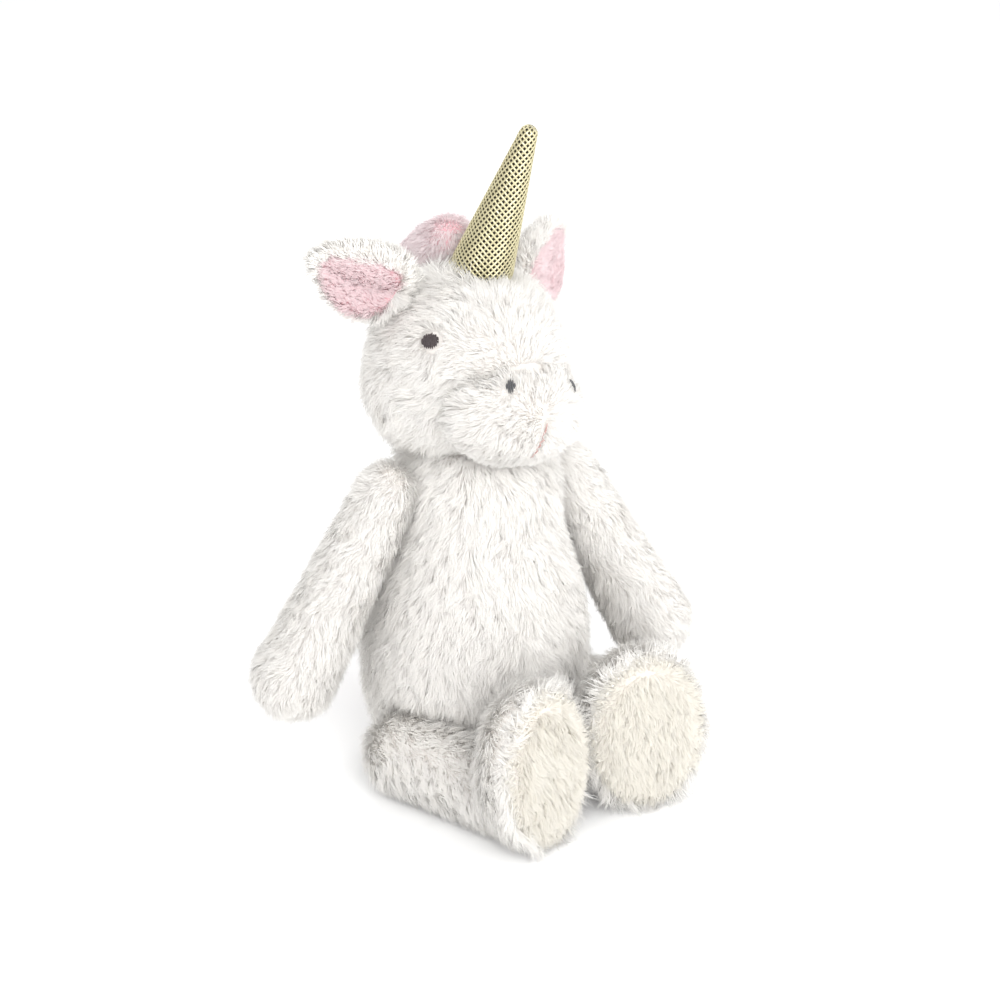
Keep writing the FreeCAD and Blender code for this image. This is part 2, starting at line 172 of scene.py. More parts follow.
def new_object(name, verts, faces, material=None, uv=None):
    """A mesh object at the origin; faces is a list of index arrays, one array for each size."""
    mesh = bpy.data.meshes.new(name)
    sizes = np.concatenate([np.full(len(f), f.shape[1]) for f in faces])
    corners = np.concatenate([f.ravel() for f in faces]).astype(np.int32)
    mesh.vertices.add(len(verts))
    mesh.vertices.foreach_set("co", np.asarray(verts, np.float32).ravel())
    mesh.loops.add(len(corners))
    mesh.loops.foreach_set("vertex_index", corners)
    mesh.polygons.add(len(sizes))
    starts = np.concatenate([[0], np.cumsum(sizes)[:-1]]).astype(np.int32)
    mesh.polygons.foreach_set("loop_start", starts)
    mesh.polygons.foreach_set("use_smooth", np.ones(len(sizes), bool))
    mesh.update(calc_edges=True)
    if uv is not None:
        layer = mesh.uv_layers.new(name="OFBake")
        layer.data.foreach_set("uv", np.asarray(uv, np.float32)[corners].ravel())
    if material:
        mesh.materials.append(material)
    thing = bpy.data.objects.new(name, mesh)
    scene.collection.objects.link(thing)
    return thing


def grid_faces(rows, columns):
    """Four-sided faces of a grid of points stored row by row, each row joined into a ring."""
    i, j = np.meshgrid(np.arange(rows - 1), np.arange(columns), indexing="ij")
    k = (j + 1) % columns
    return np.stack([i * columns + j, i * columns + k, (i + 1) * columns + k,
                     (i + 1) * columns + j], -1).reshape(-1, 4)


def tubes(paths, radius, sides=6):
    """Round threads along many paths of the same number of points, tapered at both ends."""
    count, steps = paths.shape[:2]
    along = unit(np.gradient(paths, axis=1))
    up = np.zeros_like(along)
    up[..., 2] = 1
    side = unit(np.cross(along, up + 0.01))
    lift = np.cross(side, along)
    a = np.arange(sides) * 2 * math.pi / sides
    end = np.sin(np.linspace(0, math.pi, steps)) ** 0.35
    end[[0, -1]] = 0.05
    size = (radius * end)[None, :, None, None]
    ringed = np.cos(a)[:, None] * side[:, :, None] + np.sin(a)[:, None] * lift[:, :, None]
    verts = (paths[:, :, None] + size * ringed).reshape(-1, 3)
    one = grid_faces(steps, sides)[:, ::-1]
    faces = (one[None] + (np.arange(count) * steps * sides)[:, None, None]).reshape(-1, 4)
    return verts, faces


# ---------------------------------------------------------------- materials


class Value:
    """A shader socket that adds, multiplies and subtracts like a number."""

    def __init__(self, paint, socket):
        self.paint = paint
        self.socket = socket

    def _math(self, kind, a, b):
        return self.paint.node("ShaderNodeMath", {"operation": kind}, {0: a, 1: b})

    def __add__(self, other):
        return self._math("ADD", self, other)

    def __sub__(self, other):
        return self._math("SUBTRACT", self, other)

    def __mul__(self, other):
        return self._math("MULTIPLY", self, other)

    def __pow__(self, other):
        return self._math("POWER", self, other)

    def __rsub__(self, other):
        return self._math("SUBTRACT", other, self)

    __radd__ = __add__
    __rmul__ = __mul__


class Paint:
    """A material: node() adds any node, and feed() links values into the surface."""

    def __init__(self, name, **uniform):
        self.material = bpy.data.materials.new(name)
        self.material.use_nodes = True
        self.tree = self.material.node_tree
        self.surface = self.tree.nodes["Principled BSDF"]
        for key, value in uniform.items():
            self.surface.inputs[key.replace("_", " ")].default_value = value

    def node(self, kind, settings=None, inputs=None, out=0):
        made = self.tree.nodes.new(kind)
        for key, value in (settings or {}).items():
            setattr(made, key, value)
        for key, value in (inputs or {}).items():
            if isinstance(value, Value):
                self.tree.links.new(value.socket, made.inputs[key])
            else:
                made.inputs[key].default_value = value
        return Value(self, made.outputs[out])

    def mix(self, share, a, b):
        """Colour a at 0 and colour b at 1."""
        return self.node("ShaderNodeMix", {"data_type": "RGBA"}, {0: share, 6: a, 7: b}, 2)

    def place(self):
        return self.node("ShaderNodeTexCoord", out=3)

    def noise(self, scale, detail=3.0):
        return self.node("ShaderNodeTexNoise", {},
                         {"Vector": self.place(), "Scale": scale, "Detail": detail})

    def feed(self, **links):
        for key, value in links.items():
            self.tree.links.new(value.socket, self.surface.inputs[key.replace("_", " ")])
        return self.material

    def bump(self, height, distance):
        return self.node("ShaderNodeBump", {}, {"Strength": 0.6, "Distance": distance,
                                                "Height": height})


def rgb(r, g, b):
    return (r, g, b, 1.0)


def pile_paint(name, root, tip, tip_b):
    """Pile: a darker root colour deep down, which is painted shade inside the pile, and two tip
    colours shared out from strand to strand.
    """
    paint = Paint(name, Roughness=0.8, Sheen_Weight=0.2, Sheen_Roughness=0.5,
                  Specular_IOR_Level=0.2)
    where = paint.node("ShaderNodeUVMap", {"uv_map": "OFBake"})
    split = paint.node("ShaderNodeSeparateXYZ", {}, {0: where})
    along = Value(paint, split.socket.node.outputs[1])
    tips = paint.mix(split, tip, tip_b)
    # darker towards the root: painted shade deep in the pile
    paint.feed(Base_Color=paint.mix(along ** 0.6, root, tips))
    through = paint.node("ShaderNodeBsdfTranslucent", {}, {"Color": tip})
    both = paint.tree.nodes.new("ShaderNodeMixShader")
    both.inputs[0].default_value = 0.4
    paint.tree.links.new(paint.surface.outputs[0], both.inputs[1])
    paint.tree.links.new(through.socket, both.inputs[2])
    paint.tree.links.new(both.outputs[0], paint.tree.nodes["Material Output"].inputs[0])
    return paint.material


def cloth_paint(name, a, b, scale=900.0, rough=0.9):
    """Backing cloth or thread: a fine uneven weave in two near colours, with a little relief."""
    paint = Paint(name, Sheen_Weight=0.2)
    fine = paint.noise(scale)
    broad = paint.noise(scale / 12)
    return paint.feed(Base_Color=paint.mix(fine * 0.6 + broad * 0.4, a, b),
                      Roughness=fine * 0.2 + (rough - 0.1), Normal=paint.bump(fine, 0.0003))


def metal_cloth(name):
    """Gilded net: pale gold bars that glint unevenly, duller where the gilt has rubbed."""
    paint = Paint(name)
    fine = paint.noise(2600.0, 2.0)
    broad = paint.noise(160.0, 2.0)
    colour = paint.mix(fine * 0.7 + broad * 0.3, rgb(0.32, 0.28, 0.14), rgb(0.88, 0.82, 0.56))
    return paint.feed(Base_Color=colour, Roughness=0.52 - fine * 0.3,
                      Metallic=0.95 - broad * 0.4, Normal=paint.bump(fine, 0.0002))


# each pile's first colour is its root colour, darkened as painted shade deep in the pile
WHITE_PILE = pile_paint("white_pile", rgb(0.93, 0.89, 0.85), rgb(0.985, 0.98, 0.965),
                        rgb(0.97, 0.95, 0.915))
CREAM_PILE = pile_paint("cream_pile", rgb(0.90, 0.84, 0.76), rgb(0.94, 0.925, 0.87),
                        rgb(0.92, 0.895, 0.83))
PINK_PILE = pile_paint("pink_pile", rgb(0.88, 0.65, 0.67), rgb(0.93, 0.80, 0.815),
                       rgb(0.95, 0.86, 0.87))
MANE_PILE = pile_paint("mane_pile", rgb(0.94, 0.78, 0.80), rgb(0.99, 0.91, 0.92),
                       rgb(0.99, 0.94, 0.945))
WHITE_SKIN = cloth_paint("white_backing", rgb(0.88, 0.83, 0.79), rgb(0.93, 0.9, 0.87))
PINK_SKIN = cloth_paint("pink_backing", rgb(0.84, 0.5, 0.54), rgb(0.9, 0.62, 0.66))
FILL = cloth_paint("fibre_filling", rgb(0.8, 0.8, 0.8), rgb(0.95, 0.95, 0.95), 400.0)
BAG = cloth_paint("bag_cloth", rgb(0.62, 0.6, 0.55), rgb(0.74, 0.72, 0.66), 1600.0)
PELLET = cloth_paint("pellet", rgb(0.7, 0.7, 0.66), rgb(0.8, 0.8, 0.77), 200.0, 0.45)
THREAD = cloth_paint("white_thread", rgb(0.72, 0.69, 0.64), rgb(0.86, 0.84, 0.8), 2500.0)
ROSE = cloth_paint("rose_thread", rgb(0.42, 0.24, 0.22), rgb(0.56, 0.36, 0.33), 2500.0)
CHARCOAL = cloth_paint("charcoal_thread", rgb(0.010, 0.006, 0.007), rgb(0.06, 0.04, 0.042),
                       2200.0, 0.42)
GREY = cloth_paint("grey_thread", rgb(0.02, 0.02, 0.022), rgb(0.13, 0.13, 0.135), 2200.0, 0.5)
LINING = cloth_paint("horn_lining", rgb(0.012, 0.01, 0.008), rgb(0.04, 0.033, 0.024), 1800.0)
TAPE = cloth_paint("label_tape", rgb(0.84, 0.84, 0.82), rgb(0.93, 0.93, 0.92), 3000.0, 0.5)
GOLD = metal_cloth("gold_net")


def paint_node(node, material):
    mesh = frame["nodes"][node].data
    mesh.materials.clear()
    mesh.materials.append(material)


for node in frame["nodes"]:
    if "stuffing" in node:
        paint_node(node, FILL)
    elif "stitches" in node:
        paint_node(node, THREAD)
for node, material in (("seat_pellet_bag", BAG), ("seat_pellets", PELLET), ("care_label", TAPE),
                       ("horn_lining", LINING), ("horn_stitches", GOLD)):
    paint_node(node, material)


# ---------------------------------------------------------------- skins


def remeshed(name, source):
    """The filling's outer surface as even quads, its inner hollows dropped."""
    mesh = frame["nodes"][source].data.copy()
    thing = bpy.data.objects.new(name, mesh)
    scene.collection.objects.link(thing)
    change = thing.modifiers.new("even", "REMESH")
    change.mode = "VOXEL"
    change.voxel_size = VOXEL
    settle(thing)
    edges = read(thing.data.edges, "vertices", 2).astype(int)
    co = read(thing.data.vertices, "co")
    label = np.arange(len(co))
    for _ in range(400):
        low = np.minimum(label[edges[:, 0]], label[edges[:, 1]])
        before = label.copy()
        np.minimum.at(label, edges[:, 0], low)
        np.minimum.at(label, edges[:, 1], low)
        if (label == before).all():
            break
    outer = label == np.bincount(label).argmax()
    if outer.all():
        return thing
    faces = read(thing.data.polygons, "vertices", 4).astype(int)
    faces = faces[outer[faces].all(1)]
    renumber = np.cumsum(outer) - 1
    bpy.data.objects.remove(thing)
    return new_object(name, co[outer], [renumber[faces]])


def settle(thing):
    """Makes what the modifiers show the object's own mesh."""
    evaluated = thing.evaluated_get(bpy.context.evaluated_depsgraph_get())
    mesh = bpy.data.meshes.new_from_object(evaluated)
    thing.modifiers.clear()
    thing.data = mesh
    mesh.polygons.foreach_set("use_smooth", np.ones(len(mesh.polygons), bool))


def swell(things):
    """Blows the closed cloths up from inside for 20 frames, each point moving at most
    SWELL_CAP, then shifts each along its normals until its mean rise is SKIN_RISE."""
    for thing in things:
        cloth = thing.modifiers.new("cloth", "CLOTH")
        cloth.settings.use_pressure = True
        cloth.settings.uniform_pressure_force = 4
        cloth.settings.effector_weights.gravity = 0
        cloth.collision_settings.use_collision = False
    for number in range(1, 21):
        scene.frame_set(number)
    graph = bpy.context.evaluated_depsgraph_get()
    moved = [read(t.evaluated_get(graph).data.vertices, "co") for t in things]
    for thing, after in zip(things, moved):
        rest = read(thing.data.vertices, "co")
        normal = read(thing.data.vertices, "normal")
        shift = after - rest
        size = np.linalg.norm(shift, axis=1, keepdims=True)
        shift *= np.minimum(1, SWELL_CAP / np.maximum(size, 1e-9))
        shift += normal * (SKIN_RISE - np.mean(dot(shift, normal)))
        co = rest + shift
        co[:, 2] = np.maximum(co[:, 2], SKIN_FLOOR)
        thing.modifiers.clear()
        thing.data.vertices.foreach_set("co", co.astype(np.float32).ravel())
    scene.frame_set(1)
    for thing in things:
        smoother = thing.modifiers.new("smooth", "SUBSURF")
        smoother.levels = smoother.render_levels = 1
        settle(thing)


# each skin's filling, the cover it stands for, its body and how full it is
SKINS = {
    "torso_skin": ("torso_stuffing", "torso_cover", "torso", 0.8),
    "head_skin": ("head_stuffing", "head_cover", "head", 0.9),
    "muzzle_skin": ("muzzle_stuffing", "muzzle_cover", "head", 0.8),
    "mane_skin": ("mane_stuffing", "mane_cover", "head", 0.7),
    "tail_skin": ("tail_stuffing", "tail_cover", "tail", 0.6),
}
for _, name in SIDES:
    SKINS["arm_skin_" + name] = ("arm_stuffing_" + name, "arm_cover_" + name, "arm_" + name, 0.7)
    SKINS["leg_skin_" + name] = ("leg_stuffing_" + name, "leg_cover_" + name, "leg_" + name, 0.7)

skin = {name: remeshed(name, facts[0]) for name, facts in SKINS.items()}
swell(list(skin.values()))
for name, (_, cover, body, fill) in SKINS.items():
    pink = name in ("mane_skin", "tail_skin")
    skin[name].data.materials.clear()
    skin[name].data.materials.append(PINK_SKIN if pink else WHITE_SKIN)
    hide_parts(cover)
    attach(skin[name], body)


# ---------------------------------------------------------------- places on the toy

skull, skull_r = fitted_ball(cad_points("head_cover"))
neck, _ = joint_place("neck_turn")
horn_root, head_x = joint_place("horn_wobble")
horn_points = cad_points("horn_stuffing")
horn_tip = horn_points[np.linalg.norm(horn_points - horn_root, axis=1).argmax()]
horn_up = unit(horn_tip - horn_root)
crown = unit(horn_root - skull)
forward = unit(np.cross(crown, head_x))
if forward[1] > 0:
    forward = -forward
muzzle_mid = box_middle("muzzle_cover")
nose = muzzle_mid + forward * 14 * MM
eye_mid = {name: box_middle("eye_" + name) for _, name in SIDES}
nostril_mid = {name: box_middle("nostril_" + name) for _, name in SIDES}
shoulder = {name: joint_place("arm_lift_" + name)[0] for _, name in SIDES}


def plump(thing, point, reach, amount):
    """Pushes a skin out along its normals by amount at a point, fading away over reach."""
    co = read(thing.data.vertices, "co")
    normal = read(thing.data.vertices, "normal")
    share = np.exp(-(np.linalg.norm(co - point, axis=1) / reach) ** 2)[:, None]
    thing.data.vertices.foreach_set("co", (co + normal * share * amount).astype(np.float32).ravel())
    thing.data.update()


for side, _ in SIDES:
    sideways = side * head_x * np.sign(head_x[0])
    cheek = unit(0.78 * sideways - 0.60 * crown - 0.1 * forward)
    brow = unit(0.62 * sideways + 0.1 * crown + 0.75 * forward)
    for way, reach, amount in ((cheek, 20 * MM, 5 * MM), (brow, 14 * MM, 2.5 * MM)):
        plump(skin["head_skin"], skull + way * skull_r, reach, amount)

# each leg's hip, the middle of its sole, the way the sole faces and the way up it
LEG = {}
for _, name in SIDES:
    hip, _ = joint_place("leg_raise_" + name)
    sole = cad_points("sole_pad_" + name)
    middle = sole.mean(0)
    turned = np.linalg.svd(sole - middle, full_matrices=False)[2]
    facing = turned[2] * (-1 if turned[2][1] > 0 else 1)
    upward = turned[0] * (1 if turned[0][2] > 0 else -1)
    LEG[name] = (hip, middle, facing, upward)

# the body's greatest radius above each of 60 levels
torso_points = cad_points("torso_cover")
levels = np.linspace(0, torso_points[:, 2].max(), 60)
level_of = np.digitize(torso_points[:, 2], levels)
girth = np.hypot(torso_points[:, 0], torso_points[:, 1])
profile = np.array([girth[level_of == n].max() if (level_of == n).any() else 0
                    for n in range(1, len(levels) + 1)])


def in_torso(p, margin):
    """Points at least margin inside the body, which is taken as round at every level."""
    radius = np.interp(p[:, 2], levels, profile)
    return (np.hypot(p[:, 0], p[:, 1]) < radius - margin) & (p[:, 2] < levels[-1] - margin)


def in_skull(p, margin):
    return np.linalg.norm(p - skull, axis=1) < skull_r - margin


def in_rod(p, start, end, radius):
    """Points within radius of the line from start to end."""
    way = end - start
    share = np.clip((p - start) @ way / (way @ way), 0, 1)
    return np.linalg.norm(p - start - share[:, None] * way, axis=1) < radius


# ---------------------------------------------------------------- pile


def scattered(thing, density, seed):
    """Points spread evenly over a mesh by area, with its smooth normals."""
    mesh = thing.data
    mesh.calc_loop_triangles()
    tri = read(mesh.loop_triangles, "vertices", 3).astype(int)
    co = read(mesh.vertices, "co")
    normal = read(mesh.vertices, "normal")
    area = np.linalg.norm(np.cross(co[tri[:, 1]] - co[tri[:, 0]], co[tri[:, 2]] - co[tri[:, 0]]),
                          axis=1) / 2
    total = np.cumsum(area)
    count = int(total[-1] * density / MM**2)
    rng = np.random.default_rng(seed)
    picks = (np.arange(count) + rng.random(count)) / count * total[-1]
    t = np.minimum(np.searchsorted(total, picks), len(tri) - 1)
    a, b = rng.random((2, count, 1))
    fold = a + b > 1
    a, b = np.where(fold, 1 - a, a), np.where(fold, 1 - b, b)
    corner = tri[t]
    p = co[corner[:, 0]] * (1 - a - b) + co[corner[:, 1]] * a + co[corner[:, 2]] * b
    n = unit(normal[corner[:, 0]] * (1 - a - b) + normal[corner[:, 1]] * a
             + normal[corner[:, 2]] * b)
    return p, n, rng


def pile(name, thing, body, material, flow, density=6.0, length=7.5, width=0.28, rise=0.62,
         clump=2.8, gather=0.3, keep=None, trim=None, lift=None, warm=None, seed=1, part=None):
    """Strands of pile. Each is a ribbon of two spans from its root on the skin: the first rises
    along the normal and starts to lean the way of the nap, the second lies over to the tip.
    Tips are drawn towards the middle of the tuft they belong to, and each tuft turns, grows and
    is tinted a little its own way. density is in strands to a square millimetre, and length,
    width and clump are in millimetres."""
    p, n, rng = scattered(thing, density, seed)
    chosen = np.ones(len(p), bool) if keep is None else keep(p, n)
    if part is not None:
        chosen &= part(p)
    p, n = p[chosen], n[chosen]
    count = len(p)
    cell = np.floor(p / (clump * MM))
    offset = np.stack([hashed(cell, k) for k in (1, 2, 3)], 1)
    tuft = (cell + 0.2 + 0.6 * offset) * clump * MM
    way = unit(flat(flow(p, n), n))
    across = np.cross(n, way)
    turn = (waves(p, 22 * MM, seed + 50) * 0.5 + waves(p, 8 * MM, seed + 60) * 0.5
            + (hashed(cell, 4) - 0.5) * 0.65 + rng.normal(0, 0.22, count))[:, None]
    way = np.cos(turn) * way + np.sin(turn) * across
    size = length * MM * (0.84 + 0.22 * hashed(cell, 5) + rng.uniform(-0.2, 0.2, count))
    if trim is not None:
        size = size * trim(p, n)
    size = size[:, None]
    up = rise * (0.86 + 0.28 * hashed(cell, 6) + rng.uniform(-0.22, 0.22, count))
    if lift is not None:
        up = up * lift(p, n)
    up = up[:, None]
    pull = flat(tuft - p, n) * gather
    mid = p + size * (0.52 * np.sqrt(up) * n + 0.26 * way) + pull * 0.45
    tip = p + size * (0.95 * up * n + 0.74 * way) + pull
    low = p - n * 0.3 * MM
    spread = rng.uniform(-0.7, 0.7, (count, 1))
    side = unit(np.cross(tip - p, n))
    side = unit(side * np.cos(spread) + np.cross(unit(tip - p), side) * np.sin(spread))
    half = width * MM / 2 * rng.uniform(0.7, 1.25, (count, 1))
    verts = np.stack([low - side * half, low + side * half, mid - side * half * 0.85,
                      mid + side * half * 0.85, tip], 1)
    verts[..., 2] = np.maximum(verts[..., 2], PILE_FLOOR)
    base = (np.arange(count) * 5)[:, None]
    quads = base + np.array([[0, 1, 3, 2]])
    tips = base + np.array([[2, 3, 4]])
    tint = 0.55 * hashed(cell, 7) + 0.45 * rng.random(count)
    if warm is not None:
        tint = tint * 0.5 + 0.5 * warm(p, n)
    tint = np.clip(tint, 0.02, 0.98)
    # v runs from root to tip; the pile's material paints the root end darker as shade
    v = np.array([0.03, 0.03, 0.5, 0.5, 0.97])
    uv = np.stack([np.repeat(tint, 5), np.tile(v, count)], 1)
    made = new_object(name, verts.reshape(-1, 3), [quads, tips], material, uv)
    lean = unit(np.cross(side, tip - p))
    lean *= np.where(dot(lean, n) < 0, -1, 1)
    own = unit(n + lean * 0.2 + rng.normal(0, 0.08, (count, 3))
               + (np.stack([hashed(cell, k) for k in (8, 9, 10)], 1) - 0.5) * 0.18)
    made.data.normals_split_custom_set_from_vertices(np.repeat(own, 5, 0).astype(np.float32))
    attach(made, body)
    return made


def down(p, n):
    return np.tile([0.0, 0.0, -1.0], (len(p), 1))


def near(p, point, radius):
    return np.linalg.norm(p - point, axis=1) < radius


def nap_of(along):
    return lambda p, n: np.tile(along, (len(p), 1))


def body_flow(p, n):
    """Down the body and a little out from its middle."""
    out = np.column_stack([p[:, 0], np.zeros(len(p)), np.full(len(p), -0.05)])
    return unit(out) * 0.25 + np.array([0, 0, -1.0])


def head_flow(p, n):
    """Away from the nose over the face, turning down over the cheeks and the back; away from
    the eyes, and in and up against the foot of the horn."""
    away = unit(p - nose)
    fall = smooth(((p - nose) @ -forward) / (50 * MM))[:, None]
    out = away * (1 - 0.55 * fall) + np.array([0, 0, -1.0]) * (0.25 + 0.7 * fall)
    return out + away_from(p, eye_mid, 6 * MM) - horn_near(p)[:, None] * (
        unit(flat(p - horn_root, horn_up)) * 2.0 - horn_up)


def away_from(p, middles, reach):
    """A push away from each of the two middles, strong close to them."""
    total = np.zeros_like(p)
    for gap in (p - middles[name] for _, name in SIDES):
        total += unit(gap) * 2 * np.exp(-(np.linalg.norm(gap, axis=1) / reach) ** 2)[:, None]
    return total


def shorter_near(p, middles, reach, least):
    """1 far from the two middles and least at them."""
    share = np.ones(len(p))
    for _, name in SIDES:
        far = np.linalg.norm(p - middles[name], axis=1) / reach
        share *= 1 - (1 - least) * np.exp(-(far**2))
    return share


def horn_near(p):
    """1 round the foot of the horn, 0 from 6 mm away."""
    off = np.linalg.norm(flat(p - horn_root, horn_up), axis=1) - HORN_R
    return 1 - smooth(off / (6 * MM))


def muzzle_flow(p, n):
    """Out from the middle of the nose, parted over the mouth and hanging more towards the
    chin."""
    x, z = nose_place(p)
    above = smooth((z - 4 * MM) / (8 * MM))[:, None]
    apart = (np.sign(x) * np.exp(-np.abs(x) / (9 * MM)))[:, None] * head_x
    out = unit(flat(p - nose, n)) + apart * (1 - above) - np.array([0, 0, 0.3]) * (1 - above)
    return out + away_from(p, nostril_mid, 4 * MM)


def face_mask(p, n):
    """No pile under the eyes' and nostrils' thread."""
    keep = np.ones(len(p), bool)
    for _, name in SIDES:
        keep &= ~near(p, eye_mid[name], EYE_R + 0.5 * MM)
        keep &= ~near(p, nostril_mid[name], 2.7 * MM)
    return keep


def head_keep(p, n):
    """No pile inside the horn, behind the muzzle, at the neck or under the thread."""
    inside = in_rod(p, horn_root, horn_root + horn_up * 10 * MM, HORN_R - 1.5 * MM)
    hidden = np.linalg.norm((p - muzzle_mid) / (np.array([24, 16, 17]) * MM), axis=1) < 1
    return face_mask(p, n) & ~inside & ~hidden & ~near(p, neck, 26 * MM)


def nose_place(p):
    """How far round the nose to the side and how far up it a point is, in metres of surface."""
    gap = p - muzzle_mid
    ahead = np.maximum(gap @ forward, 1e-6)
    return (np.arctan2(gap @ head_x, ahead) * 24 * MM, np.arctan2(gap @ crown, ahead) * 20 * MM)


def seam_gap(p, width):
    """True away from the nose seam and the mouth seam that runs down from its middle."""
    x, z = nose_place(p)
    ahead = (p - muzzle_mid) @ forward > 4 * MM
    mouth = (np.abs(x) < width) & (z < 6 * MM) & (z > -22 * MM)
    level = 9 * MM - 2.2 * MM * np.cos(x / (6 * MM))
    across = (np.abs(z - level) < width * 0.8) & (np.abs(x) < 19 * MM)
    return ~((mouth | across) & ahead)


def muzzle_keep(p, n):
    return face_mask(p, n) & seam_gap(p, 0.45 * MM) & ~in_skull(p, 2 * MM)


def torso_keep(p, n):
    """No pile where the head, the arms and the legs cover the body, or under its seat."""
    keep = ~in_skull(p, 3 * MM) & (p[:, 2] < neck[2] + 20 * MM)
    for _, name in SIDES:
        hip, sole = LEG[name][:2]
        keep &= ~near(p, shoulder[name], 6 * MM)
        keep &= ~in_rod(p, hip, hip + (sole - hip) * 0.5, 10 * MM)
    return keep & ((p[:, 2] > 1.5 * MM) | (np.hypot(p[:, 0], p[:, 1]) > 16 * MM))


for title, density, part in (
        ("front_right", 6.4, lambda p: (p[:, 0] < 0) & (p[:, 1] < 0)),
        ("front_left", 6.4, lambda p: (p[:, 0] >= 0) & (p[:, 1] < 0)),
        ("back_right", 5.0, lambda p: (p[:, 0] < 0) & (p[:, 1] >= 0)),
        ("back_left", 5.0, lambda p: (p[:, 0] >= 0) & (p[:, 1] >= 0))):
    pile("torso_pile_" + title, skin["torso_skin"], "torso", WHITE_PILE,
         body_flow, keep=torso_keep, part=part, density=density, warm=lambda p, n: 0.6, seed=11,
         trim=lambda p, n: 1 + 0.25 * smooth((p[:, 2] - 100 * MM) / (15 * MM)))


def forelock(p):
    """1 in the longer tuft in front of each ear, beside the foot of the horn."""
    return sum(np.exp(-(np.linalg.norm(p - horn_root - way * 15 * MM * head_x, axis=1)
                        / (8 * MM)) ** 2) for way in (-1, 1))


def head_trim(p, n):
    """Shorter at the front of the face and round the eyes, longer low down and in the
    forelock."""
    ahead = (p - skull) @ forward / (12 * MM) - 2.4
    low = smooth(-(p - skull) @ crown / (25 * MM))
    return ((1 - 0.3 * np.exp(-(ahead**2)) + 0.25 * low + 0.6 * forelock(p))
            * shorter_near(p, eye_mid, 6 * MM, 0.45))


for title, density, part in (("front", 6.6, lambda p: (p - skull) @ forward > 4 * MM),
                             ("back", 5.2, lambda p: (p - skull) @ forward <= 4 * MM)):
    pile("head_pile_" + title, skin["head_skin"], "head", WHITE_PILE, head_flow,
         keep=head_keep, density=density, seed=21, trim=head_trim, part=part,
         lift=lambda p, n: 1 + 0.8 * horn_near(p) + 0.5 * forelock(p))


def muzzle_trim(p, n):
    """Short round the nostrils and under the chin."""
    under = smooth(-(p - muzzle_mid) @ crown / (18 * MM))
    return (1 - 0.35 * under) * shorter_near(p, nostril_mid, 4.5 * MM, 0.35)


pile("muzzle_pile", skin["muzzle_skin"], "head", WHITE_PILE, muzzle_flow,
     keep=muzzle_keep, density=6.6, length=6.5, rise=0.7, clump=2.4, seed=31,
     trim=muzzle_trim)
pile("mane_pile", skin["mane_skin"], "head", MANE_PILE, down,
     keep=lambda p, n: ~in_skull(p, 1 * MM), length=3.8, rise=0.8, density=6.5, seed=41)
pile("tail_pile", skin["tail_skin"], "tail", PINK_PILE,
     nap_of(unit(cad_points("tail_cover").mean(0) - joint_place("tail_swing")[0])),
     keep=lambda p, n: ~in_torso(p, 2 * MM), length=7.0, density=5.5, seed=45)


# ---------------------------------------------------------------- arms and legs

